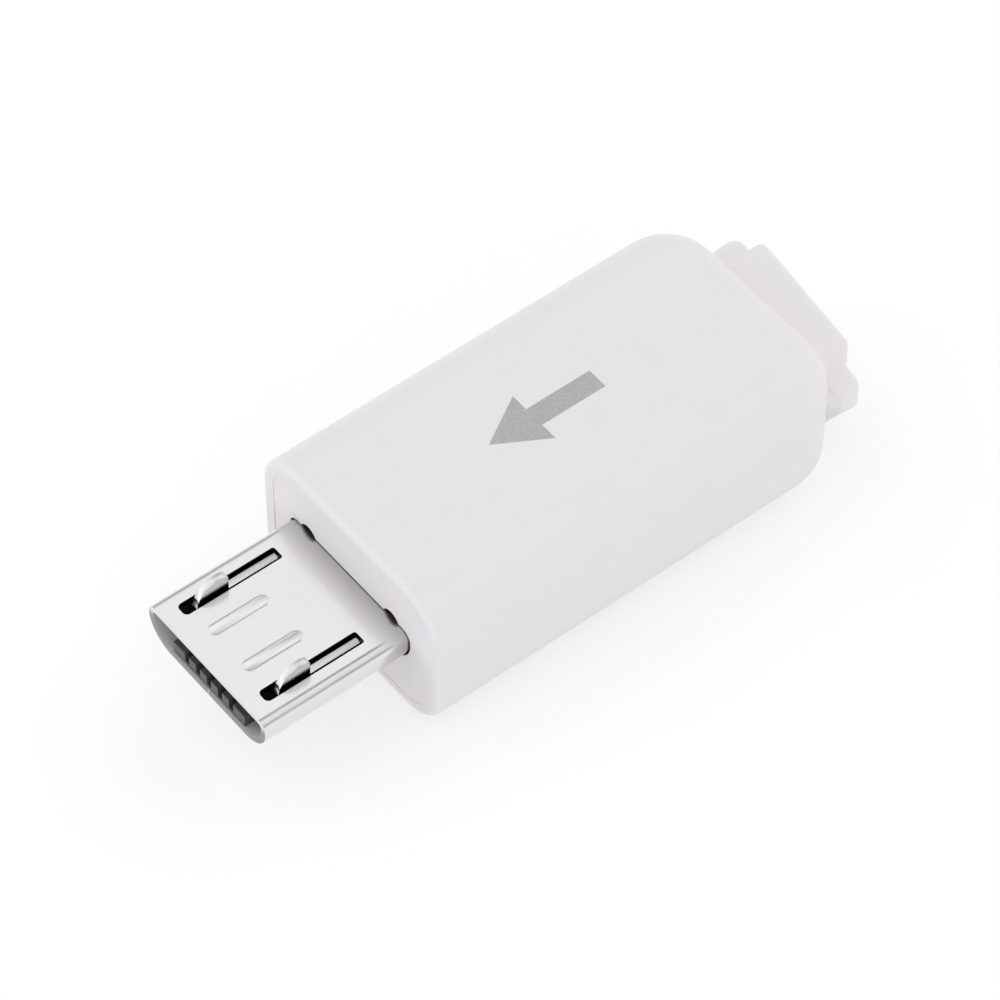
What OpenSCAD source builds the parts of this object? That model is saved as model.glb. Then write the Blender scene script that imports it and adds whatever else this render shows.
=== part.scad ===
// Micro-B cable plug: a folded metal nose held by a white two-part frame inside a white outer sleeve.
// +X points to the mating end, +Y to the plug's left, +Z up; the sleeve's flat underside lies on Z = 0.
// Lengths are millimetres. The tail's bore takes the cable.

/* [Sleeve] */
// Length of the outer sleeve
sleeve_length = 19.1; // [17.5:0.1:21]
// Width of the outer sleeve
sleeve_width = 10.2; // [9.8:0.1:10.6]
// Height of the outer sleeve
sleeve_height = 6.7; // [6.4:0.1:8.4]
// Wall of the sleeve above and below the frame
sleeve_wall = 0.5; // [0.4:0.05:0.6]
// Wall of the sleeve beside the frame
side_wall = 0.65; // [0.55:0.05:0.75]
// Wall of the sleeve behind the frame
rear_wall = 0.8; // [0.6:0.05:1]
// Radius of the sleeve's long edges
edge_round = 1.9; // [1.5:0.1:2]
// Radius of the front rim's outer edge
rim_round = 0.25; // [0.1:0.05:0.35]
// How far the frame's face lies behind the rim
face_recess = 0.03; // [0.01:0.01:0.2]

/* [Metal nose] */
// Width of the nose across its wide side
nose_width = 6.85; // [6.8:0.01:6.9]
// Height of the nose
nose_height = 1.8; // [1.75:0.01:1.85]
// How far the nose stands out of the sleeve
nose_reach = 6.25; // [6:0.05:7]
// How far the nose goes into the frame
nose_depth = 4.8; // [4:0.1:5.5]
// Thickness of the folded sheet
sheet = 0.25; // [0.2:0.01:0.27]
// Outer radius of the two folds beside the hooks
fold_round = 0.4; // [0.35:0.01:0.42]
// Outer radius of the two wide folds below
foot_round = 1.25; // [1.1:0.05:1.3]

/* [Latches] */
// Distance between the two latches
latch_spacing = 4.78; // [4.7:0.01:4.84]
// Thickness of a latch plate
latch_thick = 0.28; // [0.24:0.01:0.3]
// How far the hooks stand above the nose
hook_height = 0.66; // [0.5:0.01:0.7]
// Radius of the hooks' back
hook_round = 1; // [0.9:0.01:1.05]
// Width of the windows that the latches work in
window_width = 0.58; // [0.54:0.01:0.62]

/* [Contacts] */
// Distance between neighbouring contacts
pitch = 0.65; // [0.63:0.01:0.65]
// Width of a contact
contact_width = 0.2; // [0.16:0.01:0.24]
// Thickness of a contact
contact_thick = 0.15; // [0.12:0.01:0.16]
// Width of the insulator's tongue
tongue_width = 4.2; // [4.1:0.01:4.24]
// Height of the insulator's tongue
tongue_height = 0.6; // [0.55:0.01:0.65]
// How far the tongue's front lies inside the mouth
tongue_recess = 0.06; // [0.04:0.01:0.4]

/* [Tail] */
// How far the raised middle of the tail stands out of the sleeve
tail_reach = 2.2; // [1.8:0.1:3]
// Angle at which the tail's end is cut
tail_slant = 8; // [0:1:10]
// Width of the tail across its flat sides
tail_width = 8.2; // [7.8:0.1:8.4]
// Height of the tail's flat sides
ear_height = 1.3; // [1.1:0.05:1.5]
// Width of the raised middle of the tail
hump_width = 5.6; // [5.2:0.1:5.8]
// Height of the raised middle of the tail
hump_height = 3; // [2.8:0.05:3.2]
// Diameter of the cable's bore
bore_diameter = 2.2; // [1.8:0.1:2.3]

/* [Fits] */
// Space between the sleeve and the frame
sleeve_fit = 0.03; // [0.02:0.01:0.1]
// Space between the nose and the frame
nose_fit = 0.05; // [0.03:0.01:0.08]
// Space round the tail in the sleeve's opening
tail_fit = 0.1; // [0.06:0.01:0.15]
// Space beside each latch plate in the insulator
latch_fit = 0.07; // [0.05:0.01:0.08]
// Space round the insulator and the contacts
press_fit = 0.02; // [0.01:0.005:0.03]
// Seam between the two frame halves
seam = 0.02; // [0.01:0.01:0.04]

/* [Hidden] */
$fn = 64;
past = 1;

// How far a slanted end with round corners reaches past its own middle
function lean(width, round) =
    (width / 2 - round) * tan(tail_slant) + round * (1 - 1 / cos(tail_slant));

// Sleeve and frame
corner_round = edge_round + 0.4;
inside_round = edge_round - side_wall;
inset_y = side_wall + sleeve_fit;
inset_z = sleeve_wall + sleeve_fit;
frame_length = sleeve_length - rear_wall - sleeve_fit - face_recess;
frame_width = sleeve_width - 2 * inset_y;
frame_height = sleeve_height - 2 * inset_z;
frame_wall = 0.65;

// Nose
nose_mid = sleeve_height / 2 - 0.05;
nose_low = nose_mid - nose_height / 2;
nose_top = nose_mid + nose_height / 2;
floor_z = nose_low + sheet;
roof_z = nose_top - sheet;

// Latch windows, pressed oblongs and the folded seam
slot_front = nose_reach - 0.67;
slot_rear = nose_reach - 4.93;
slot_round = 0.2;
bead_front = nose_reach - 0.88;
bead_rear = nose_reach - 3.45;
bead_wide = 0.54;
bead_line = 0.07;
bead_deep = 0.05;
bead_y = 1;
fold_seam = 0.05;
dovetail_rear = nose_reach - 4.6;
dovetail_front = nose_reach - 2.6;
dovetail_reach = 0.7;
dovetail_flare = 0.2;

// Latches
latch_y = latch_spacing / 2;
hook_x = nose_reach - 2.25;
hook_rear = hook_x - 0.4;
hook_z = nose_top + hook_height - hook_round;
hook_edge = 0.12;
arm_top = nose_top - 0.12;
arm_low = nose_top - 0.5;
tip_low = nose_top - 0.25;
land_rear = slot_rear + 0.08;
arm_roof = roof_z - 0.1;
arm_start = nose_reach - 4.05;
root_x = nose_reach - 5.85;
root_z = nose_low + 1.05;
root_round = 0.36;

// Insulator and contacts
body_front = nose_reach - 5.05;
tongue_front = nose_reach - tongue_recess;
tongue_top = floor_z + tongue_height;
contact_z = floor_z + 0.3;
groove_z = floor_z + 0.15;
shelf_length = 2.1;
shelf_rear = -nose_depth - shelf_length;
shelf_edge = 0.9;
shelf_half = 2 * pitch + shelf_edge;
solder_end = shelf_rear + 0.1;
bend_x = body_front + 0.3;
bow_x = tongue_front - 1.4;
bow_rise = 0.35;
tip_x = tongue_front - 0.55;
tip_rise = 0.08;

// Inside of the frame
chamber_half = nose_width / 2 - 0.6;
chamber_low = inset_z + frame_wall;
chamber_top = sleeve_height - chamber_low;
chamber_rear = -sleeve_length + 2.7;
notch_round = 0.45;
notch_z = nose_top - 0.12;
notch_depth = 2.5;
key_y = (chamber_half + frame_width / 2) / 2;
key_wide = 0.45;
key_high = 0.35;
key_rear = chamber_rear + 1.4;
key_front = shelf_rear - 0.1;

// Tail
tail_z = nose_mid - 0.4;
hump_end = -sleeve_length - tail_reach;
ear_end = hump_end + 0.25;
tail_root = -sleeve_length + corner_round - 0.1;
hump_corner = 0.7;
hump_edge = 0.6;
ear_corner = 0.9;
ear_edge = 0.5;
end_edge = 0.4;
trim = 0.02;
tail_over = max(lean(hump_width, hump_corner), lean(tail_width, ear_corner) + hump_end - ear_end);

// Shift that puts the middle of the whole length on the origin
centre_x = (sleeve_length + tail_reach + tail_over - nose_reach) / 2;

// Lays a flat outline in the Y-Z plane and runs it along X
module along_x(from, to) {
    translate([from, 0, 0])
        rotate([90, 0, 90])
            linear_extrude(to - from)
                children();
}

// Lays a flat outline in the X-Z plane and runs it along Y
module along_y(from, to) {
    translate([0, to, 0])
        rotate([90, 0, 0])
            linear_extrude(to - from)
                children();
}

// A box given by its two corners
module block(low, high) {
    translate(low)
        cube(high - low);
}

// A rectangle with round corners, centred in the first direction and standing on the second
module slab(width, height, round) {
    translate([-width / 2 + round, 0])
        square([width - 2 * round, height]);
    translate([-width / 2, round])
        square([width, height - 2 * round]);
    for (side = [-1, 1], z = [round, height - round])
        translate([side * (width / 2 - round), z])
            circle(round);
}

// A polygon grown by a radius, with round corners
module grown(points, round) {
    count = len(points);
    polygon(points);
    for (i = [0 : count - 1]) {
        a = points[i];
        b = points[(i + 1) % count];
        translate(a)
            circle(round);
        translate(a)
            rotate(atan2(b[1] - a[1], b[0] - a[0]))
                translate([0, -round])
                    square([norm(b - a), round]);
    }
}

// Half outline of a rounded end: flat at the axis, round at the top and bottom outer corners
module end_outline(reach, height, round) {
    intersection() {
        square([reach, height]);
        translate([-reach, 0])
            slab_from_edge(2 * reach, height, round);
    }
}

// The rounded rectangle again, starting at its own edge
module slab_from_edge(width, height, round) {
    translate([width / 2, 0])
        slab(width, height, round);
}

// A block with round long edges and a rear end that is round in plan: X from -length to 0, Z from 0 up
module pebble(length, width, height, edge, corner) {
    start = -length + corner;
    half = width / 2 - corner;
    along_x(start, 0)
        slab(width, height, edge);
    along_y(-half, half)
        translate([start, 0])
            mirror([1, 0])
                end_outline(corner, height, edge);
    for (side = [0, 1])
        mirror([0, side, 0])
            translate([start, half, 0])
                rotate([0, 0, 90])
                    rotate_extrude(angle = 90)
                        end_outline(corner, height, edge);
}

// A quarter of a disc
module quarter(round) {
    intersection() {
        circle(round);
        square(round);
    }
}

// Quarter-round edge of the front rim: reach outward, depth along the second direction
module lip_outline(reach, depth) {
    square([reach - depth, depth]);
    translate([reach - depth, 0])
        quarter(depth);
}

// Front lid whose outer edge is rounded: X from -depth to 0
module soft_rim(width, height, edge, depth) {
    flat_y = width / 2 - edge;
    flat_z = height / 2 - edge;
    translate([-depth, 0, height / 2]) {
        for (turn = [0, 180])
            rotate([turn, 0, 0]) {
                // upper and lower sides
                translate([0, flat_y, 0])
                    rotate([90, -90, 0])
                        linear_extrude(2 * flat_y)
                            mirror([0, 1])
                                lip_outline(height / 2, depth);
                // left and right sides
                translate([0, 0, -flat_z])
                    rotate([0, 0, 90])
                        linear_extrude(2 * flat_z)
                            mirror([0, 1])
                                lip_outline(width / 2, depth);
            }
        for (side_y = [0, 1], side_z = [0, 1])
            mirror([0, side_y, 0])
                mirror([0, 0, side_z])
                    translate([0, flat_y, flat_z])
                        rotate([90, 0, 90])
                            rotate_extrude(angle = 90)
                                lip_outline(edge, depth);
    }
}

// Section of the nose, taken in from its outside: narrow folds above, wide folds below
module nose_section(in) {
    half = nose_width / 2 - in;
    fold = fold_round - in;
    foot = foot_round - in;
    foot_z = nose_low + foot_round;
    fold_z = nose_top - fold_round;
    translate([-half + foot, nose_low + in])
        square([2 * (half - foot), foot]);
    translate([-half, foot_z])
        square([2 * half, fold_z - foot_z]);
    translate([-half + fold, fold_z])
        square([2 * (half - fold), fold]);
    for (side = [0, 1])
        mirror([side, 0]) {
            translate([half - foot, foot_z])
                mirror([0, 1])
                    quarter(foot);
            translate([half - fold, fold_z])
                quarter(fold);
        }
}

// Space that the nose fills in the frame, with a round notch behind each latch
module nose_space() {
    along_x(-nose_depth - nose_fit, past)
        nose_section(-nose_fit);
    for (side = [-1, 1])
        translate([-notch_depth, side * latch_y, notch_z])
            rotate([0, 90, 0])
                cylinder(r = notch_round, h = notch_depth + past);
}

// Space for the wires and the cable inside the frame
module wire_space() {
    block([chamber_rear, -chamber_half, chamber_low], [-nose_depth, chamber_half, chamber_top]);
    translate([hump_end - past, 0, tail_z])
        rotate([0, 90, 0])
            cylinder(d = bore_diameter, h = chamber_rear - hump_end + 2 * past);
}

// Section of one lobe of the tail, centred on the bore's height
module lobe_section(width, height, round) {
    translate([0, tail_z - height / 2])
        slab(width, height, round);
}

// One lobe of the tail: round along its sides, round in plan and round over its slanted end
module tail_lobe(end, width, height, edge, corner) {
    length = tail_root - end;
    half = width / 2 - corner + trim;
    start = end - trim + corner / cos(tail_slant);
    skew = half * tan(tail_slant);
    root = tail_root + past;
    intersection() {
        along_x(end - past, tail_root)
            lobe_section(width, height, edge);
        linear_extrude(sleeve_height)
            grown([[start - skew, -half], [root, -half], [root, half], [start + skew, half]], corner);
        translate([end, 0, tail_z - height / 2 - trim])
            rotate([0, 0, -tail_slant])
                along_y(-width, width)
                    slab_from_edge(2 * length, height + 2 * trim, end_edge);
    }
}

// Tail: flat sides with a raised middle for the cable
module tail() {
    tail_lobe(ear_end, tail_width, ear_height, ear_edge, ear_corner);
    tail_lobe(hump_end, hump_width, hump_height, hump_edge, hump_corner);
}

// Opening in the sleeve's rear that the tail comes out of
module tail_opening() {
    along_x(-sleeve_length - past, -sleeve_length + corner_round) {
        lobe_section(tail_width + 2 * tail_fit, ear_height + 2 * tail_fit, ear_edge + tail_fit);
        lobe_section(hump_width + 2 * tail_fit, hump_height + 2 * tail_fit, hump_edge + tail_fit);
    }
}

// Outside of both frame halves together
module frame_solid() {
    translate([-face_recess, 0, inset_z])
        pebble(frame_length, frame_width, frame_height, inside_round - sleeve_fit, corner_round - inset_y);
    tail();
}

// Keys that line up the two frame halves
module keys(grow) {
    for (side = [-1, 1])
        block([key_rear - grow, side * key_y - key_wide / 2 - grow, nose_mid - key_high],
            [key_front + grow, side * key_y + key_wide / 2 + grow, nose_mid + key_high + grow]);
}

// White sleeve that slides over the frame
module outer_sleeve() {
    color("white")
        translate([centre_x, 0, 0])
            difference() {
                union() {
                    translate([-rim_round, 0, 0])
                        pebble(sleeve_length - rim_round, sleeve_width, sleeve_height, edge_round,
                            corner_round);
                    soft_rim(sleeve_width, sleeve_height, edge_round, rim_round);
                }
                translate([past, 0, sleeve_wall])
                    pebble(sleeve_length - rear_wall + past, sleeve_width - 2 * side_wall,
                        sleeve_height - 2 * sleeve_wall, inside_round, corner_round - side_wall);
                tail_opening();
            }
}

// Upper white frame half
module upper_frame() {
    color("whitesmoke")
        translate([centre_x, 0, 0])
            difference() {
                intersection() {
                    frame_solid();
                    block([hump_end - past, -sleeve_width, nose_mid + seam / 2],
                        [past, sleeve_width, sleeve_height]);
                }
                nose_space();
                wire_space();
                keys(seam);
            }
}

// Lower white frame half with its two keys
module lower_frame() {
    color("whitesmoke")
        translate([centre_x, 0, 0])
            difference() {
                union() {
                    intersection() {
                        frame_solid();
                        block([hump_end - past, -sleeve_width, 0],
                            [past, sleeve_width, nose_mid - seam / 2]);
                    }
                    keys(0);
                }
                nose_space();
                wire_space();
            }
}

// Window in the nose's wide side for one latch, rounder at its front
module latch_window() {
    length = slot_front - slot_rear;
    translate([slot_front, 0, 0])
        rotate([0, 0, 90])
            linear_extrude(2 * sheet) {
                slab(window_width, length, slot_round);
                translate([0, length / 2])
                    slab(window_width, length / 2, slot_round / 2);
            }
}

// A strip with half-round ends
module oblong(from, to, wide) {
    round = wide / 2;
    translate([from + round, -round])
        square([to - from - wide, wide]);
    for (x = [from + round, to - round])
        translate([x, 0])
            circle(round);
}

// Line pressed round an oblong
module bead() {
    linear_extrude(past)
        difference() {
            oblong(bead_rear, bead_front, bead_wide);
            oblong(bead_rear + bead_line, bead_front - bead_line, bead_wide - 2 * bead_line);
        }
}

// Fold seam on the underside with its dovetail
module fold_line() {
    path = [
        [-nose_depth - past, 0],
        [dovetail_rear, 0],
        [dovetail_rear - dovetail_flare, dovetail_reach],
        [dovetail_front + dovetail_flare, dovetail_reach],
        [dovetail_front, 0],
        [nose_reach + past, 0],
    ];
    translate([0, 0, nose_low - sheet])
        linear_extrude(3 * sheet)
            for (i = [0 : len(path) - 2]) {
                run = path[i + 1] - path[i];
                translate(path[i])
                    rotate(atan2(run[1], run[0]))
                        translate([0, -fold_seam / 2])
                            square([norm(run) + fold_seam / 3, fold_seam]);
            }
}

// Folded sheet-metal nose
module nose_shell() {
    color("silver")
        translate([centre_x, 0, 0])
            difference() {
                along_x(-nose_depth, nose_reach)
                    nose_section(0);
                along_x(-nose_depth - past, nose_reach + past)
                    nose_section(sheet);
                for (side = [-1, 1]) {
                    translate([0, side * latch_y, roof_z - sheet / 2])
                        latch_window();
                    translate([0, side * bead_y, nose_top - bead_deep])
                        bead();
                }
                fold_line();
            }
}

// Flat outline of a hook in the X-Z plane: a round back, a soft rear edge and a tip that rises underneath
module hook_outline() {
    edge_x = hook_rear + hook_edge;
    edge_z = hook_z + sqrt(pow(hook_round - hook_edge, 2) - pow(hook_x - edge_x, 2));
    intersection() {
        translate([hook_x, hook_z])
            circle(hook_round);
        polygon([
            [edge_x, arm_low],
            [hook_x, arm_low],
            [hook_x + hook_round, tip_low],
            [hook_x + hook_round, nose_top + past],
            [edge_x, nose_top + past],
        ]);
    }
    translate([edge_x, edge_z])
        circle(hook_edge);
    translate([hook_rear, arm_low])
        square([hook_edge, edge_z - arm_low]);
}

// Flat outline of a latch in the X-Z plane, its arm raised in the window and lower under the roof
module latch_outline() {
    translate([root_x, root_z])
        circle(root_round);
    polygon([
        [root_x, root_z - root_round],
        [arm_start, arm_low],
        [hook_rear + hook_edge, arm_low],
        [hook_rear + hook_edge, arm_top],
        [land_rear, arm_top],
        [land_rear, arm_roof],
        [root_x, root_z + root_round],
    ]);
    hook_outline();
}

// Sprung latch plate with its hook
module latch(side) {
    mid = side * latch_y;
    color("lightgray")
        translate([centre_x, 0, 0])
            along_y(mid - latch_thick / 2, mid + latch_thick / 2)
                latch_outline();
}

module latch_left() {
    latch(1);
}

module latch_right() {
    latch(-1);
}

// Pocket for one latch root, open to the front
module latch_pocket(side) {
    half = latch_thick / 2 + latch_fit;
    mid = side * latch_y;
    block([root_x, mid - half, root_z - root_round - press_fit], [body_front + past, mid + half, nose_top]);
    along_y(mid - half, mid + half)
        translate([root_x, root_z])
            circle(root_round + press_fit);
}

// Black insulator with its tongue, contact grooves and solder shelf
module insulator() {
    groove = contact_width / 2 + press_fit;
    color("dimgray")
        translate([centre_x, 0, 0])
            difference() {
                union() {
                    along_x(-nose_depth, body_front)
                        nose_section(sheet + press_fit);
                    block([body_front - past, -tongue_width / 2, floor_z + press_fit],
                        [tongue_front, tongue_width / 2, tongue_top]);
                    block([shelf_rear, -shelf_half, floor_z + press_fit],
                        [-nose_depth + past, shelf_half, contact_z]);
                }
                for (i = [-2 : 2]) {
                    block([body_front, i * pitch - groove, groove_z],
                        [nose_reach + past, i * pitch + groove, nose_top]);
                    block([shelf_rear - past, i * pitch - groove, contact_z],
                        [nose_reach, i * pitch + groove, contact_z + contact_thick + press_fit]);
                }
                for (side = [-1, 1])
                    latch_pocket(side);
            }
}

// Sprung contact from its solder tail to its tip
module contact(index) {
    mid = (index - 3) * pitch;
    low = contact_z;
    top = contact_z + contact_thick;
    color("gold")
        translate([centre_x, 0, 0])
            along_y(mid - contact_width / 2, mid + contact_width / 2)
                polygon([
                    [solder_end, low],
                    [bend_x, low],
                    [bow_x, low + bow_rise],
                    [tip_x, low + tip_rise],
                    [tip_x, top + tip_rise],
                    [bow_x, top + bow_rise],
                    [bend_x, top],
                    [solder_end, top],
                ]);
}

module contact_1() {
    contact(1);
}

module contact_2() {
    contact(2);
}

module contact_3() {
    contact(3);
}

module contact_4() {
    contact(4);
}

module contact_5() {
    contact(5);
}

outer_sleeve();
upper_frame();
lower_frame();
nose_shell();
insulator();
contact_1();
contact_2();
contact_3();
contact_4();
contact_5();
latch_left();
latch_right();
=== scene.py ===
"""Looks of a micro-B cable plug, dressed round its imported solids.

Lengths are metres in the plug's own frame: +X points to the mating end, +Y to the plug's left and +Z up.
"""

import math

import bmesh
import bpy
from bpy.props import FloatProperty, FloatVectorProperty, IntProperty, PointerProperty
from mathutils import Matrix, Vector


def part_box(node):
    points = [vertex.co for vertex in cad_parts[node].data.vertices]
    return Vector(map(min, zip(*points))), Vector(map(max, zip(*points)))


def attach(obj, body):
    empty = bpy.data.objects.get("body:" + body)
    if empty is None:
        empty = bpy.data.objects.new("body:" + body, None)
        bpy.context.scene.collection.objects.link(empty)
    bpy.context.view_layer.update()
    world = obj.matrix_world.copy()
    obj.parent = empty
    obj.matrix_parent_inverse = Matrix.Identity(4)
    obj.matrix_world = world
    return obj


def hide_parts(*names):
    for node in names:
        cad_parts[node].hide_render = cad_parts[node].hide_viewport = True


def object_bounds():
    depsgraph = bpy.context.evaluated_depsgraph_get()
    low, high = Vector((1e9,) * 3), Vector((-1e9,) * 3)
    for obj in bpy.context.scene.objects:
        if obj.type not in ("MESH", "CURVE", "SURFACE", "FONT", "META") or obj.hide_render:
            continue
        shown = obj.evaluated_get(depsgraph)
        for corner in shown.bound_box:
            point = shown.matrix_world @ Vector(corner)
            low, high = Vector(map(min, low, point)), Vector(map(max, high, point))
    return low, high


bl_info = {
    "name": "Micro-B cable plug",
    "version": (1, 0, 0),
    "blender": (4, 5, 0),
    "location": "View3D > Sidebar > Plug",
    "description": "Finishes a micro-B cable plug and its studio stage",
    "category": "Object",
}

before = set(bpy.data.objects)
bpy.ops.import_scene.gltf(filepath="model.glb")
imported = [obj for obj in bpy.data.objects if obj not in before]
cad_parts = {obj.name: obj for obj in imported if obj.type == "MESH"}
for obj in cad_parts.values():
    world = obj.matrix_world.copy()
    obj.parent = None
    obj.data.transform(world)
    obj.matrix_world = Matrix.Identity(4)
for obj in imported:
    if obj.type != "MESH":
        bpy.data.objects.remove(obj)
CAD_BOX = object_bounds()

MM = 0.001
SLEEVE_LOW, SLEEVE_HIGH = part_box("outer_sleeve")
NOSE_LOW, NOSE_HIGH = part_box("nose_shell")
CONTACTS = ["contact_%d" % number for number in range(1, 6)]
FIRST_CONTACT, LAST_CONTACT = (sum(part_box(name), Vector()) / 2 for name in (CONTACTS[0], CONTACTS[-1]))
FRONT = SLEEVE_HIGH.x
# The white face round the nose, the insulator's front and the middle of the left latch
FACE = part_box("upper_frame")[1].x
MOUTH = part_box("insulator")[1].x
LATCH_SIDE = sum(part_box("latch_left"), Vector()).y / 2
# Where the rounded tail starts, and half the width of its middle, which isn't spread
TAIL_ROOT = SLEEVE_LOW.x + 1.0 * MM
TAIL_CORE = 1.5 * MM
# The nose's finishes, in the order of its materials
PLATED, DULL, SHEARED, LIP = range(4)
# Edges that turn by more than this are softened
SHARP_EDGE = math.radians(35)
# Soft patches of the tent: the setting with the brightness that each adds, where it lies and how narrow it is
PATCHES = (
    ("front_shade", (0.61, 0.28, 0.59), 7.7),
    ("far_shade", (-0.386, -0.877, 0.285), 9.0),
    ("left_shade", (-0.386, 0.783, 0.488), 6.0),
    ("front_glow", (0.97, 0.1, 0.15), 5.0),
    ("left_glow", (0.1, 0.97, 0.12), 5.0),
    ("upper_seam", (-0.386, -0.032, 0.922), 40.0),
    ("lower_seam", (-0.386, 0.902, 0.192), 28.0),
)


def size(name, text, default):
    """A length that a user may change."""
    return FloatProperty(name=name, description=text, default=default, min=0.0, unit="LENGTH", precision=5)


def place(name, text, default):
    """A point along X that a user may change."""
    return FloatProperty(name=name, description=text, default=default, unit="LENGTH", precision=5)


def share(name, text, default):
    """A share between nothing and all that a user may change."""
    return FloatProperty(name=name, description=text, default=default, min=0.0, max=1.0, subtype="FACTOR")


def colour(name, text, default):
    """A colour that a user may change."""
    return FloatVectorProperty(name=name, description=text, default=default, subtype="COLOR", size=3,
                               min=0.0, max=1.0)


def light(name, text, default):
    """A brightness that a user may change."""
    return FloatProperty(name=name, description=text, default=default)


def angle(name, text, degrees):
    """An angle that a user may change."""
    return FloatProperty(name=name, description=text, default=math.radians(degrees), subtype="ANGLE")


class PlugFinish(bpy.types.PropertyGroup):
    """Colours, gloss and edges of the plug's surfaces."""

    sleeve_colour: colour("Sleeve", "White of the outer sleeve", (0.83, 0.805, 0.835))
    sleeve_gloss: share("Sleeve roughness", "Roughness of the satin sleeve", 0.42)
    frame_colour: colour("Frame", "White of the inner frame and tail", (0.85, 0.825, 0.85))
    frame_gloss: share("Frame roughness", "Roughness of the matte frame", 0.55)
    nickel_colour: colour("Nickel", "Tint of the plated nose", (0.81, 0.80, 0.812))
    nickel_gloss: share("Nickel roughness", "Roughness of the plate along the nose", 0.225)
    # Painted shade: how far the nose's plate darkens towards the white face, in place of the face's dark
    # reflection.
    root_shade: share("Root shade", "How far the plate darkens towards the white face", 0.33)
    inner_colour: colour("Inside of the nose", "Tint of the dull sheet inside the nose", (0.57, 0.56, 0.57))
    latch_colour: colour("Latch steel", "Tint of the sprung latches", (0.72, 0.71, 0.72))
    # Dull grey used as painted shade on the lower lip of the mouth.
    lip_shade_colour: colour("Lower lip", "Tint of the sheared edge under the mouth", (0.3, 0.295, 0.3))
    # Near black used as painted shade on the latches' sides and on the walls of the nose's windows.
    window_shade_colour: colour("Dark steel", "Tint of the latches' sides in their windows", (0.06, 0.06, 0.065))
    insulator_colour: colour("Insulator", "Dark grey of the insulator", (0.075, 0.073, 0.075))
    # Near black used as painted shade in the hollows of the face, the nose and the insulator.
    hollow_shade_colour: colour("Hollows", "Near black of the hollows in the face and nose", (0.012, 0.012, 0.013))
    contact_colour: colour("Contacts", "Tint of the plated contacts", (0.83, 0.66, 0.33))
    frame_press: size("Frame press", "How far the frame is pressed into the sleeve's clearance", 0.029 * MM)
    tail_grain: size("Tail grain", "Mesh size of the rounded tail", 0.06 * MM)
    tail_soft: IntProperty(name="Tail softness", description="Times that the tail's edges are smoothed", default=22,
                           min=0)
    tail_flare: size("Tail flare", "How far the tail's sides spread from the sleeve to its end", 0.3 * MM)
    nose_edge: size("Nose edge", "Softening of the nose's cut edges", 0.035 * MM)
    latch_edge: size("Latch edge", "Softening of the latches' cut edges", 0.03 * MM)
    insulator_edge: size("Insulator edge", "Softening of the insulator's edges", 0.04 * MM)


class PlugPrint(bpy.types.PropertyGroup):
    """Arrow printed on the sleeve."""

    ink: colour("Ink", "Grey of the printed arrow", (0.42, 0.41, 0.42))
    length: size("Length", "Length of the arrow", 5.0 * MM)
    head: size("Head", "Length of the arrow's head", 2.1 * MM)
    width: size("Width", "Width of the arrow's head", 2.5 * MM)
    shaft: size("Shaft", "Width of the arrow's shaft", 0.95 * MM)
    middle: place("Middle", "Middle of the arrow along the plug", FRONT - 8.775 * MM)
    blur: size("Blur", "Softness of the print's edge", 0.03 * MM)


class PlugContacts(bpy.types.PropertyGroup):
    """Row of contacts in the nose."""

    count: IntProperty(name="Count", description="Number of contacts in the row", default=len(CONTACTS), min=1)
    pitch: size("Pitch", "Distance between neighbouring contacts",
                (LAST_CONTACT.y - FIRST_CONTACT.y) / (len(CONTACTS) - 1))


class PlugStage(bpy.types.PropertyGroup):
    """Camera, floor and light round the plug."""

    view_turn: angle("View turn", "Camera's angle round the plug", 141.67)
    view_lift: angle("View lift", "Camera's angle above the horizon", 51.55)
    view_distance: size("View distance", "Distance from the camera to the plug", 180.0 * MM)
    view_place: place("View place", "Point along the plug that the camera looks at", FRONT - 6.81 * MM)
    view_height: size("View height", "Height of the point that the camera looks at", 3.164 * MM)
    lens: FloatProperty(name="Lens", description="Focal length", default=180.0, subtype="DISTANCE_CAMERA")
    floor_colour: colour("Floor", "Colour of the floor", (0.88, 0.88, 0.88))
    floor_seen: colour("Seen floor", "Colour of the floor where the camera sees it", (0.45, 0.45, 0.45))
    floor_glow: share("Floor glow", "Brightness added to the floor where the camera sees it", 0.58)
    tent: light("Tent", "Brightness of the tent away from its patches", 1.36)
    tent_fall: light("Tent fall", "Brightness lost from the tent's foot to its top", 0.226)
    front_shade: light("Front shade", "Brightness added over the front opening", -1.1)
    far_shade: light("Far shade", "Brightness added at the far side", -0.9)
    left_shade: light("Left shade", "Brightness added high on the left", -0.45)
    front_glow: light("Front glow", "Brightness added low in front", 0.4)
    left_glow: light("Left glow", "Brightness added low on the left", 0.48)
    upper_seam: light("Upper seam", "Brightness added at the tent's upper seam", -0.95)
    lower_seam: light("Lower seam", "Brightness added at the tent's lower seam", -0.95)


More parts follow.
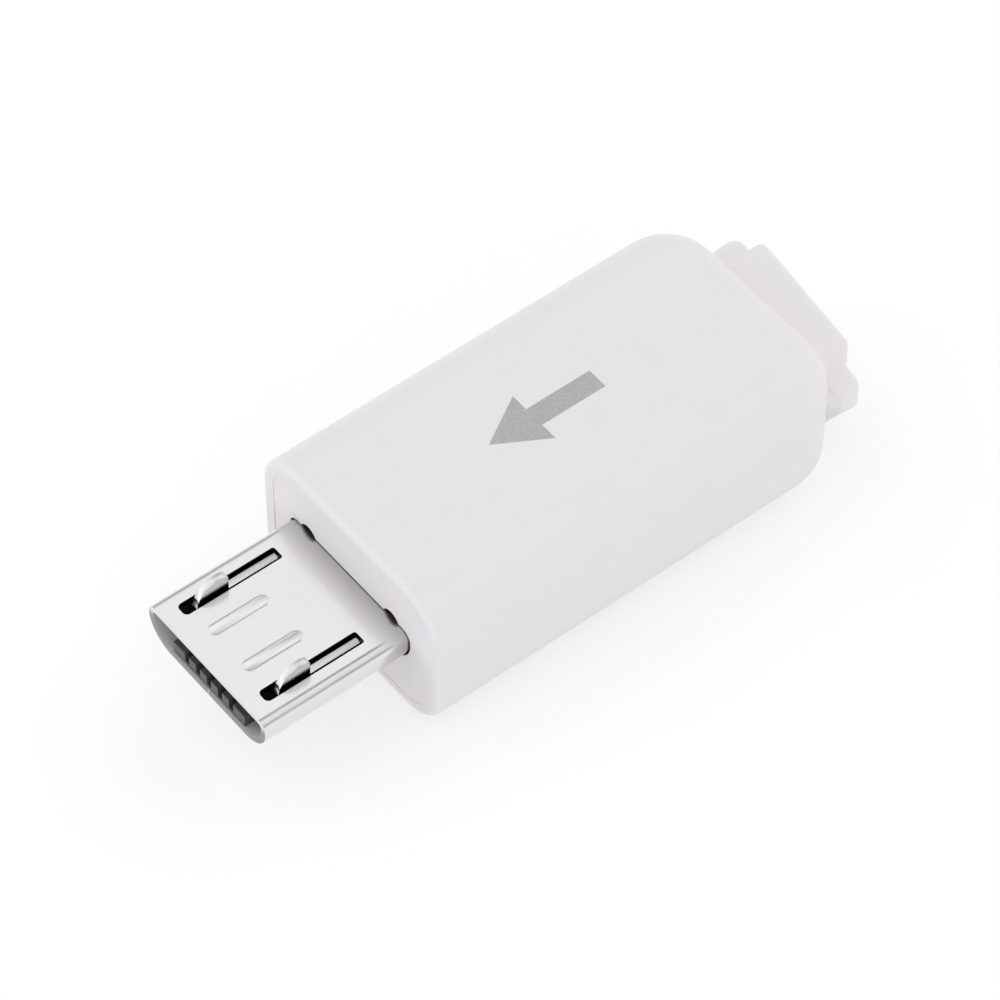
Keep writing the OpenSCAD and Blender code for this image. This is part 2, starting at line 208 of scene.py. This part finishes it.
class Tree:
    """Short calls that add and link nodes in one node tree."""

    def __init__(self, tree):
        self.nodes = tree.nodes
        self.links = tree.links

    def add(self, kind, **settings):
        """A new node with the given settings."""
        node = self.nodes.new(kind)
        for name, value in settings.items():
            setattr(node, name, value)
        return node

    def feed(self, socket, value):
        """Links an output to the socket, or sets a plain value on it."""
        if isinstance(value, bpy.types.NodeSocket):
            self.links.new(value, socket)
        else:
            socket.default_value = value

    def math(self, operation, *values, clamp=False):
        """The result of a sum on values or outputs."""
        node = self.add("ShaderNodeMath", operation=operation, use_clamp=clamp)
        for socket, value in zip(node.inputs, values):
            self.feed(socket, value)
        return node.outputs[0]

    def ramp(self, value, start, end, low=0.0, high=1.0):
        """Turns a value smoothly from low at start to high at end."""
        node = self.add("ShaderNodeMapRange", interpolation_type="SMOOTHSTEP")
        for name, setting in (("Value", value), ("From Min", start), ("From Max", end), ("To Min", low),
                              ("To Max", high)):
            self.feed(node.inputs[name], setting)
        return node.outputs["Result"]

    def split(self, vector):
        """X, Y and Z of a vector."""
        node = self.add("ShaderNodeSeparateXYZ")
        self.links.new(vector, node.inputs[0])
        return node.outputs

    def towards(self, way, direction, power):
        """How much a direction points the given way, from nothing to one."""
        node = self.add("ShaderNodeVectorMath", operation="DOT_PRODUCT")
        node.inputs[1].default_value = Vector(direction).normalized()
        self.links.new(way, node.inputs[0])
        ahead = self.math("MAXIMUM", node.outputs["Value"], 0.0)
        return self.math("POWER", ahead, power)


class Paint(Tree):
    """A material under construction, with its shader and Object coordinates at hand."""

    def __init__(self, name):
        self.material = bpy.data.materials.new(name)
        self.material.use_nodes = True
        super().__init__(self.material.node_tree)
        self.shader = self.nodes["Principled BSDF"]
        self.place = self.add("ShaderNodeTexCoord").outputs["Object"]
        self.x, self.y, self.z = self.split(self.place)

    def set(self, **values):
        """Feeds the shader's sockets, named with underscores for spaces."""
        for name, value in values.items():
            socket = self.shader.inputs[name.replace("_", " ")]
            if not isinstance(value, bpy.types.NodeSocket) and socket.type == "RGBA":
                value = (*value, 1.0)
            self.feed(socket, value)

    def noise(self, grain, detail=2.0, stretch=(1.0, 1.0, 1.0)):
        """Noise whose blots are about one grain across, drawn out by the stretch."""
        mapping = self.add("ShaderNodeMapping")
        mapping.inputs["Scale"].default_value = [1.0 / (grain * way) for way in stretch]
        self.links.new(self.place, mapping.inputs["Vector"])
        noise = self.add("ShaderNodeTexNoise")
        noise.inputs["Scale"].default_value = 1.0
        noise.inputs["Detail"].default_value = detail
        self.links.new(mapping.outputs["Vector"], noise.inputs["Vector"])
        return noise.outputs["Fac"]

    def wander(self, grain, low, high):
        """A value that wanders between low and high in blots of the grain."""
        return self.ramp(self.noise(grain), 0.3, 0.7, low, high)

    def blend(self, factor, first, second):
        """Mixes two colours or colour outputs."""
        mix = self.add("ShaderNodeMix", data_type="RGBA")
        self.feed(mix.inputs["Factor"], factor)
        for name, value in (("A", first), ("B", second)):
            socket = next(s for s in mix.inputs if s.name == name and s.type == "RGBA")
            if not isinstance(value, bpy.types.NodeSocket):
                value = (*value, 1.0)
            self.feed(socket, value)
        return next(s for s in mix.outputs if s.type == "RGBA")

    def mottle(self, colour_value, amount, grain):
        """The colour with soft blots a little darker than it."""
        dark = tuple(channel * (1.0 - amount) for channel in colour_value)
        return self.blend(self.noise(grain), dark, colour_value)

    def bump(self, height, depth):
        """Small relief of the given depth."""
        node = self.add("ShaderNodeBump")
        node.inputs["Strength"].default_value = 1.0
        node.inputs["Distance"].default_value = depth
        self.links.new(height, node.inputs["Height"])
        self.set(Normal=node.outputs["Normal"])


def arrow_cover(paint, mark):
    """Where the printed arrow covers the sleeve's flat top, from nothing to one."""
    along = paint.math("SUBTRACT", paint.x, mark.middle)
    across = paint.math("ABSOLUTE", paint.y)
    tip = mark.length / 2
    neck = tip - mark.head
    half_head = paint.math("MULTIPLY", paint.math("SUBTRACT", tip, along), mark.width / 2 / mark.head)
    in_head = paint.ramp(paint.math("SUBTRACT", half_head, across), 0.0, mark.blur)
    past_neck = paint.ramp(along, neck, neck + mark.blur)
    head = paint.math("MULTIPLY", in_head, past_neck)
    in_shaft = paint.ramp(across, mark.shaft / 2 - mark.blur, mark.shaft / 2, 1.0, 0.0)
    past_end = paint.ramp(along, -tip, -tip + mark.blur)
    before_neck = paint.ramp(along, neck, neck + mark.blur, 1.0, 0.0)
    shaft = paint.math("MULTIPLY", paint.math("MULTIPLY", in_shaft, past_end), before_neck)
    on_top = paint.math("GREATER_THAN", paint.z, SLEEVE_HIGH.z - 0.1 * MM)
    return paint.math("MULTIPLY", paint.math("ADD", head, shaft, clamp=True), on_top)


def sleeve_white(finish, mark):
    """Satin white moulding with the arrow printed in grey."""
    paint = Paint("sleeve_white")
    white = paint.mottle(finish.sleeve_colour, 0.02, 1.6 * MM)
    speckle = paint.ramp(paint.noise(0.07 * MM), 0.25, 0.55, 0.72, 1.0)
    cover = paint.math("MULTIPLY", arrow_cover(paint, mark), speckle)
    gloss = paint.wander(0.5 * MM, finish.sleeve_gloss - 0.04, finish.sleeve_gloss + 0.04)
    paint.set(Base_Color=paint.blend(cover, white, mark.ink), Roughness=gloss)
    paint.bump(paint.noise(0.06 * MM, detail=3.0), 0.0006 * MM)
    return paint.material


def frame_white(finish):
    """Matte white moulding with a fine grain, with painted shade near black in the face's hollows and painted shade
    by the sleeve's rear.
    """
    paint = Paint("frame_white")
    white = paint.mottle(finish.frame_colour, 0.03, 1.1 * MM)
    # Painted shade: faces just behind the white face, in its hollows, blend to near black.
    behind = paint.ramp(paint.x, FACE - 0.1 * MM, FACE - 0.02 * MM, 1.0, 0.0)
    hollow = paint.math("MULTIPLY", behind, paint.math("GREATER_THAN", paint.x, FACE - 4.0 * MM))
    white = paint.blend(hollow, white, finish.hollow_shade_colour)
    # Painted shade: the tail next to the sleeve's rear edge blends, by a wandering amount, towards the insulator's
    # dark grey.
    by_sleeve = paint.math("MULTIPLY", paint.ramp(paint.x, SLEEVE_LOW.x - 0.5 * MM, SLEEVE_LOW.x),
                           paint.math("LESS_THAN", paint.x, SLEEVE_LOW.x + 2.0 * MM))
    sleeve_gap_shade = paint.math("MULTIPLY", by_sleeve, paint.wander(0.8 * MM, 0.04, 0.16))
    white = paint.blend(sleeve_gap_shade, white, finish.insulator_colour)
    gloss = paint.wander(0.3 * MM, finish.frame_gloss - 0.05, finish.frame_gloss + 0.05)
    paint.set(Base_Color=white, Roughness=gloss)
    paint.bump(paint.noise(0.05 * MM, detail=3.0), 0.0012 * MM)
    return paint.material


def rolled_metal(name, tint, roughness, streak, root_shade=0.0):
    """Plated sheet with faint rolling streaks along the plug, and, where asked, painted shade that darkens it
    towards the white face.
    """
    paint = Paint(name)
    lines = paint.noise(0.05 * MM, detail=3.0, stretch=(30.0, 1.0, 1.0))
    clouds = paint.mottle(tint, 0.03, 0.9 * MM)
    if root_shade:
        # Painted shade: the plate darkens towards the white face, standing in for the face's dark reflection.
        by_face = paint.ramp(paint.x, FACE, FACE + 1.05 * MM, root_shade, 0.0)
        clouds = paint.blend(by_face, clouds, (0.0, 0.0, 0.0))
    gloss = paint.ramp(lines, 0.25, 0.75, roughness * (1.0 - streak), roughness * (1.0 + streak))
    paint.set(Base_Color=clouds, Roughness=gloss, Metallic=1.0)
    paint.bump(lines, 0.0004 * MM)
    return paint.material


def latch_side(finish):
    """Flat side of a latch, with painted shade near black low in its window and painted light higher up at the
    hook.
    """
    paint = Paint("latch_side")
    # Painted shade and light: near black below the nose's top, blending up to bright steel at the hook.
    lit_above = paint.ramp(paint.z, NOSE_HIGH.z + 0.05 * MM, NOSE_HIGH.z + 0.35 * MM)
    steel = paint.blend(lit_above, finish.window_shade_colour, finish.latch_colour)
    paint.set(Base_Color=steel, Roughness=paint.wander(0.1 * MM, 0.2, 0.3), Metallic=1.0)
    return paint.material


def dull_metal(finish):
    """Dull unpolished sheet inside the nose, with painted shade near black behind its mouth."""
    paint = Paint("nickel_inside")
    grey = paint.mottle(finish.inner_colour, 0.08, 0.3 * MM)
    # Painted shade: the sheet turns near black further in from the mouth.
    deep_shade = paint.ramp(paint.x, NOSE_HIGH.x - 1.1 * MM, NOSE_HIGH.x - 0.7 * MM, 1.0, 0.0)
    grey = paint.blend(deep_shade, grey, finish.hollow_shade_colour)
    paint.set(Base_Color=grey, Roughness=paint.wander(0.2 * MM, 0.5, 0.62))
    return paint.material


def mouth_edge(finish):
    """Sheared edge round the mouth, with painted light above and painted shade in dull grey below."""
    paint = Paint("mouth_edge")
    # Painted light and shade: the edge is bright nickel above and dull grey lower down.
    lit_above = paint.ramp(paint.z, NOSE_HIGH.z - 0.6 * MM, NOSE_HIGH.z - 0.2 * MM)
    sheet = paint.blend(lit_above, finish.lip_shade_colour, finish.nickel_colour)
    paint.set(Base_Color=sheet, Roughness=paint.wander(0.1 * MM, 0.3, 0.4), Metallic=1.0)
    return paint.material


def insulator_grey(finish):
    """Dark grey glass-filled moulding, with painted shade near black where it lies further in the nose."""
    paint = Paint("insulator_grey")
    grey = paint.mottle(finish.insulator_colour, 0.15, 0.25 * MM)
    # Painted shade: the insulator turns near black further behind the mouth.
    deep_shade = paint.ramp(paint.x, MOUTH - 0.8 * MM, MOUTH - 0.2 * MM, 1.0, 0.0)
    grey = paint.blend(deep_shade, grey, finish.hollow_shade_colour)
    paint.set(Base_Color=grey, Roughness=paint.wander(0.12 * MM, 0.38, 0.5))
    paint.bump(paint.noise(0.04 * MM, detail=3.0), 0.001 * MM)
    return paint.material


def contact_gold(finish):
    """Thin gold plate, a little duller in soft blots."""
    paint = Paint("contact_gold")
    gold = paint.mottle(finish.contact_colour, 0.1, 0.4 * MM)
    paint.set(Base_Color=gold, Roughness=paint.wander(0.15 * MM, 0.24, 0.34), Metallic=1.0)
    return paint.material


def wear(node, material):
    """Gives a CAD node its material."""
    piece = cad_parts[node]
    piece.data.materials.clear()
    piece.data.materials.append(material)


def closed_copy(node):
    """A mesh of the CAD node with its loose triangles joined."""
    mesh = bpy.data.meshes.new(node + "_joined")
    work = bmesh.new()
    work.from_mesh(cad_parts[node].data)
    touching, flat = 0.0002 * MM, math.radians(0.5)
    bmesh.ops.remove_doubles(work, verts=work.verts, dist=touching)
    bmesh.ops.dissolve_limit(work, angle_limit=flat, verts=work.verts, edges=work.edges)
    work.to_mesh(mesh)
    work.free()
    return mesh


def cut_off(work, point, way):
    """Cuts away what lies the given way from the point and closes the cut."""
    parts = work.verts[:] + work.edges[:] + work.faces[:]
    cut = bmesh.ops.bisect_plane(work, geom=parts, plane_co=point, plane_no=way, clear_outer=True)["geom_cut"]
    bmesh.ops.holes_fill(work, edges=[part for part in cut if isinstance(part, bmesh.types.BMEdge)])


def baked(context, holder):
    """The holder's mesh with its modifiers worked in, once the holder is gone."""
    context.view_layer.update()
    mesh = bpy.data.meshes.new_from_object(holder.evaluated_get(context.evaluated_depsgraph_get()))
    holder.modifiers.clear()
    bpy.data.objects.remove(holder)
    return mesh


def soften(piece, width=0.0):
    """Rounds a piece's sharp edges by the width and shades the rest smooth."""
    piece.data.shade_smooth()
    if width:
        bevel = piece.modifiers.new("edges", "BEVEL")
        bevel.width = width
        bevel.segments = 2
        bevel.angle_limit = SHARP_EDGE
        bevel.harden_normals = True
    else:
        piece.data.set_sharp_from_angle(angle=SHARP_EDGE)
    normals = piece.modifiers.new("normals", "WEIGHTED_NORMAL")
    normals.keep_sharp = True


def dress(name, mesh, materials, slot, body, *nodes):
    """Puts a finished mesh in the scene in place of its CAD nodes."""
    for material in materials:
        mesh.materials.append(material)
    piece = bpy.data.objects.new(name, mesh)
    bpy.context.scene.collection.objects.link(piece)
    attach(piece, body)
    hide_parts(*nodes)
    return piece


class PLUG_OT_sleeve(bpy.types.Operator):
    """Finishes the white sleeve with its printed arrow"""

    bl_idname = "plug.sleeve"
    bl_label = "Sleeve"

    def execute(self, context):
        scene = context.scene
        wear("outer_sleeve", sleeve_white(scene.plug_finish, scene.plug_print))
        return {"FINISHED"}


class PLUG_OT_frame(bpy.types.Operator):
    """Finishes the two halves of the inner frame and tail"""

    bl_idname = "plug.frame"
    bl_label = "Frame halves"

    def execute(self, context):
        finish = context.scene.plug_finish
        white = frame_white(finish)
        halves = {name: closed_copy(name) for name in ("upper_frame", "lower_frame")}
        for mesh in halves.values():
            self.press_shut(mesh, finish.frame_press)
        tail = self.soft_tail(context, halves.values(), finish)
        seam = Vector((0.0, 0.0, min(vertex.co.z for vertex in halves["upper_frame"].vertices)))
        for name, mesh in halves.items():
            away = Vector((0.0, 0.0, -1.0 if name == "upper_frame" else 1.0))
            self.change_tail(mesh, tail, seam, away)
            soften(dress(name.replace("frame", "half"), mesh, (white,), "white_frame", "plug", name))
        return {"FINISHED"}

    def soft_tail(self, context, halves, finish):
        """The tail of both halves as one mesh with rounded edges, worked in millimetres for the remesh's sake."""
        work = bmesh.new()
        for half in halves:
            work.from_mesh(half)
        cut_off(work, (TAIL_ROOT, 0.0, 0.0), (1.0, 0.0, 0.0))
        self.spread(work.verts, finish.tail_flare)
        mesh = bpy.data.meshes.new("sharp_tail")
        work.to_mesh(mesh)
        work.free()
        mesh.transform(Matrix.Scale(1.0 / MM, 4))
        holder = bpy.data.objects.new("tail_holder", mesh)
        context.scene.collection.objects.link(holder)
        grain = holder.modifiers.new("grain", "REMESH")
        grain.mode = "VOXEL"
        grain.voxel_size = finish.tail_grain / MM
        smooth = holder.modifiers.new("smooth", "SMOOTH")
        smooth.iterations = finish.tail_soft
        tail = baked(context, holder)
        tail.transform(Matrix.Scale(MM, 4))
        return tail

    def spread(self, vertices, flare):
        """Spreads the tail's sides more and more from its root to its end."""
        for vertex in vertices:
            spot = vertex.co
            if abs(spot.y) > TAIL_CORE:
                reach = (TAIL_ROOT - spot.x) / (TAIL_ROOT - CAD_BOX[0].x)
                spot.y += math.copysign(flare * reach, spot.y)

    def change_tail(self, mesh, tail, seam, away):
        """Puts the rounded tail, less what lies away from the seam, in place of the mesh's own."""
        work = bmesh.new()
        work.from_mesh(tail)
        cut_off(work, seam, away)
        half_tail = bpy.data.meshes.new("half_tail")
        work.to_mesh(half_tail)
        work.clear()
        work.from_mesh(mesh)
        cut_off(work, (TAIL_ROOT, 0.0, 0.0), (-1.0, 0.0, 0.0))
        work.from_mesh(half_tail)
        work.to_mesh(mesh)
        work.free()

    def press_shut(self, mesh, press):
        """Closes the hair-wide joints round the frame and between its halves."""
        middle = (SLEEVE_LOW.z + SLEEVE_HIGH.z) / 2
        low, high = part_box("upper_frame")
        wide = 1.0 + press / high.y
        tall = 1.0 + press / (high.z - middle)
        for vertex in mesh.vertices:
            spot = vertex.co
            if abs(spot.z - low.z) < 2.0 * press:
                spot.z = low.z
            spot.y *= wide
            spot.z = middle + (spot.z - middle) * tall


class PLUG_OT_nose(bpy.types.Operator):
    """Softens the folded nose's cut edges and plates it"""

    bl_idname = "plug.nose"
    bl_label = "Nose"

    def execute(self, context):
        finish = context.scene.plug_finish
        mesh = closed_copy("nose_shell")
        for face in mesh.polygons:
            face.material_index = self.finish_of(face)
        plate = rolled_metal("nickel_plate", finish.nickel_colour, finish.nickel_gloss, 0.2, finish.root_shade)
        # The window walls get the near black steel as painted shade.
        sheared = rolled_metal("sheared_edge", finish.window_shade_colour, 0.3, 0.2)
        finishes = (plate, dull_metal(finish), sheared, mouth_edge(finish))
        nose = dress("nose", mesh, finishes, "nickel_sheet", "plug", "nose_shell")
        soften(nose, finish.nose_edge)
        return {"FINISHED"}

    def finish_of(self, face):
        """Which of the nose's finishes a face has."""
        if face.center.x > NOSE_HIGH.x - 0.01 * MM:
            return LIP
        if self.in_window(face):
            return SHEARED
        return DULL if self.looks_in(face) else PLATED

    def looks_in(self, face):
        """Whether a face looks at the middle of the nose."""
        span = NOSE_HIGH.y - 1.4 * MM
        centre = face.center
        axis = Vector((centre.x, max(-span, min(span, centre.y)), (NOSE_LOW.z + NOSE_HIGH.z) / 2))
        return face.normal.dot((centre - axis).normalized()) < -0.3

    def in_window(self, face):
        """Whether a face is a wall of the windows that the latches stand in."""
        centre = face.center
        beside = abs(abs(centre.y) - abs(LATCH_SIDE)) < 0.6 * MM
        in_top = centre.z > NOSE_HIGH.z - 0.3 * MM and abs(face.normal.z) < 0.5
        return beside and in_top and centre.x < NOSE_HIGH.x - 0.3 * MM


class PLUG_OT_latches(bpy.types.Operator):
    """Softens the two sprung latches"""

    bl_idname = "plug.latches"
    bl_label = "Latches"

    def execute(self, context):
        finish = context.scene.plug_finish
        steel = rolled_metal("latch_steel", finish.latch_colour, 0.2, 0.25)
        dark = latch_side(finish)
        for side in ("left", "right"):
            mesh = closed_copy("latch_" + side)
            for face in mesh.polygons:
                face.material_index = int(abs(face.normal.y) > 0.9)
            hook = dress(side + "_hook", mesh, (steel, dark), "latch_steel", side + "_latch", "latch_" + side)
            soften(hook, finish.latch_edge)
        return {"FINISHED"}


class PLUG_OT_insulator(bpy.types.Operator):
    """Softens the dark insulator in the nose"""

    bl_idname = "plug.insulator"
    bl_label = "Insulator"

    def execute(self, context):
        finish = context.scene.plug_finish
        mesh = closed_copy("insulator")
        tongue = dress("tongue", mesh, (insulator_grey(finish),), "black_insulator", "plug", "insulator")
        soften(tongue, finish.insulator_edge)
        return {"FINISHED"}


class PLUG_OT_contacts(bpy.types.Operator):
    """Sets the row of gold contacts in the insulator"""

    bl_idname = "plug.contacts"
    bl_label = "Contacts"

    def execute(self, context):
        row = context.scene.plug_contacts
        gold = contact_gold(context.scene.plug_finish)
        pattern = bpy.data.objects.new("contact_pattern", closed_copy(CONTACTS[0]))
        context.scene.collection.objects.link(pattern)
        tree, sockets = self.row_tree()
        holder = bpy.data.objects.new("contact_holder", bpy.data.meshes.new("contact_holder"))
        context.scene.collection.objects.link(holder)
        modifier = holder.modifiers.new("row", "NODES")
        modifier.node_group = tree
        for name, value in (("Contact", pattern), ("Count", row.count), ("Pitch", row.pitch), ("Finish", gold)):
            modifier[sockets[name]] = value
        mesh = baked(context, holder)
        mesh.name = "contact_row"
        bpy.data.objects.remove(pattern)
        mesh.materials.clear()
        dress("contact_row", mesh, (gold,), "gold_contact", "plug", *CONTACTS)
        return {"FINISHED"}

    def row_tree(self):
        """A tree that repeats one contact across the plug, and its inputs' identifiers."""
        tree = bpy.data.node_groups.new("contact_row", "GeometryNodeTree")
        face = tree.interface
        kinds = (("Contact", "NodeSocketObject"), ("Count", "NodeSocketInt"), ("Pitch", "NodeSocketFloat"),
                 ("Finish", "NodeSocketMaterial"))
        sockets = {name: face.new_socket(name, in_out="INPUT", socket_type=kind).identifier for name, kind in kinds}
        face.new_socket("Geometry", in_out="OUTPUT", socket_type="NodeSocketGeometry")
        nodes = Tree(tree)
        given = nodes.add("NodeGroupInput").outputs
        step = nodes.add("ShaderNodeCombineXYZ")
        line = nodes.add("GeometryNodeMeshLine", mode="OFFSET")
        source = nodes.add("GeometryNodeObjectInfo", transform_space="ORIGINAL")
        copies = nodes.add("GeometryNodeInstanceOnPoints")
        real = nodes.add("GeometryNodeRealizeInstances")
        finish = nodes.add("GeometryNodeSetMaterial")
        result = nodes.add("NodeGroupOutput")
        for start, end in (
            (given["Pitch"], step.inputs["Y"]),
            (given["Count"], line.inputs["Count"]),
            (step.outputs["Vector"], line.inputs["Offset"]),
            (given["Contact"], source.inputs["Object"]),
            (line.outputs["Mesh"], copies.inputs["Points"]),
            (source.outputs["Geometry"], copies.inputs["Instance"]),
            (copies.outputs["Instances"], real.inputs["Geometry"]),
            (real.outputs["Geometry"], finish.inputs["Geometry"]),
            (given["Finish"], finish.inputs["Material"]),
            (finish.outputs["Geometry"], result.inputs["Geometry"]),
        ):
            nodes.links.new(start, end)
        return tree, sockets


class PLUG_OT_stage(bpy.types.Operator):
    """Sets the floor, the white tent and the camera"""

    bl_idname = "plug.stage"
    bl_label = "Stage"

    def execute(self, context):
        stage = context.scene.plug_stage
        self.lay_floor(context.scene, stage)
        self.light_tent(context.scene, stage)
        self.aim_camera(context.scene, stage)
        context.scene.view_settings.view_transform = "Standard"
        return {"FINISHED"}

    def lay_floor(self, scene, stage):
        """Lays a wide floor under the sleeve."""
        half_side, low = 2.0, SLEEVE_LOW.z
        mesh = bpy.data.meshes.new("floor")
        corners = [(x * half_side, y * half_side, low) for x, y in ((-1, -1), (1, -1), (1, 1), (-1, 1))]
        mesh.from_pydata(corners, [], [(0, 1, 2, 3)])
        floor = bpy.data.objects.new("floor", mesh)
        scene.collection.objects.link(floor)
        mesh.materials.append(self.floor_white(stage))

    def floor_white(self, stage):
        """White floor that glows a little where it is seen, so that only the plug's shadow shows on it."""
        paint = Paint("floor_white")
        seen = self.seen(paint)
        white = paint.blend(seen, stage.floor_colour, stage.floor_seen)
        paint.set(Base_Color=white, Roughness=1.0, Specular_IOR_Level=0.0)
        glow = paint.add("ShaderNodeEmission")
        both = paint.add("ShaderNodeAddShader")
        paint.feed(glow.inputs["Strength"], paint.math("MULTIPLY", seen, stage.floor_glow))
        paint.links.new(paint.shader.outputs[0], both.inputs[0])
        paint.links.new(glow.outputs[0], both.inputs[1])
        paint.links.new(both.outputs[0], paint.nodes["Material Output"].inputs["Surface"])
        return paint.material

    def seen(self, tree):
        """One for rays that show the stage straight, in metal or through glass."""
        path = tree.add("ShaderNodeLightPath").outputs
        mirrored = tree.math("ADD", path["Is Glossy Ray"], path["Is Transmission Ray"], clamp=True)
        return tree.math("ADD", path["Is Camera Ray"], mirrored, clamp=True)

    def light_tent(self, scene, stage):
        """Lights the plug from a white tent with soft darker and brighter patches."""
        world = bpy.data.worlds.new("white_tent")
        scene.world = world
        world.use_nodes = True
        tree = Tree(world.node_tree)
        background = tree.nodes["Background"]
        background.inputs["Color"].default_value = (1.0, 1.0, 1.0, 1.0)
        way = tree.add("ShaderNodeTexCoord").outputs["Generated"]
        fall = tree.math("MULTIPLY", tree.split(way)[2], stage.tent_fall)
        brightness = tree.math("SUBTRACT", stage.tent, fall)
        for name, direction, power in PATCHES:
            added = tree.math("MULTIPLY", tree.towards(way, direction, power), getattr(stage, name))
            brightness = tree.math("ADD", brightness, added)
        tree.feed(background.inputs["Strength"], tree.math("MAXIMUM", brightness, 0.05))

    def aim_camera(self, scene, stage):
        """Sets the camera at its angle to the plug."""
        turn, lift = stage.view_turn, stage.view_lift
        back = Vector((math.sin(turn) * math.cos(lift), -math.cos(turn) * math.cos(lift), math.sin(lift)))
        data = bpy.data.cameras.new("camera")
        data.lens = stage.lens
        data.sensor_width = 36.0
        data.clip_start = 0.01
        data.clip_end = 10.0
        camera = bpy.data.objects.new("camera", data)
        scene.collection.objects.link(camera)
        camera.location = Vector((stage.view_place, 0.0, stage.view_height)) + back * stage.view_distance
        camera.rotation_euler = (-back).to_track_quat("-Z", "Y").to_euler()
        scene.camera = camera


class PLUG_PT_panel(bpy.types.Panel):
    """Lists the plug's steps"""

    bl_label = "Plug"
    bl_space_type = "VIEW_3D"
    bl_region_type = "UI"
    bl_category = "Plug"

    def draw(self, context):
        for step in STEPS:
            self.layout.operator(step.bl_idname)


GROUPS = {"plug_finish": PlugFinish, "plug_print": PlugPrint, "plug_contacts": PlugContacts,
          "plug_stage": PlugStage}
STEPS = (PLUG_OT_sleeve, PLUG_OT_frame, PLUG_OT_nose, PLUG_OT_latches, PLUG_OT_insulator, PLUG_OT_contacts,
         PLUG_OT_stage)
CLASSES = (*GROUPS.values(), *STEPS, PLUG_PT_panel)


def register():
    for item in CLASSES:
        bpy.utils.register_class(item)
    for name, group in GROUPS.items():
        setattr(bpy.types.Scene, name, PointerProperty(type=group))


def unregister():
    for name in GROUPS:
        delattr(bpy.types.Scene, name)
    for item in reversed(CLASSES):
        bpy.utils.unregister_class(item)


def main():
    """Builds the dressed plug and its stage."""
    register()
    bpy.ops.plug.sleeve()
    bpy.ops.plug.frame()
    bpy.ops.plug.nose()
    bpy.ops.plug.latches()
    bpy.ops.plug.insulator()
    bpy.ops.plug.contacts()
    bpy.ops.plug.stage()


if __name__ == "__main__":
    main()
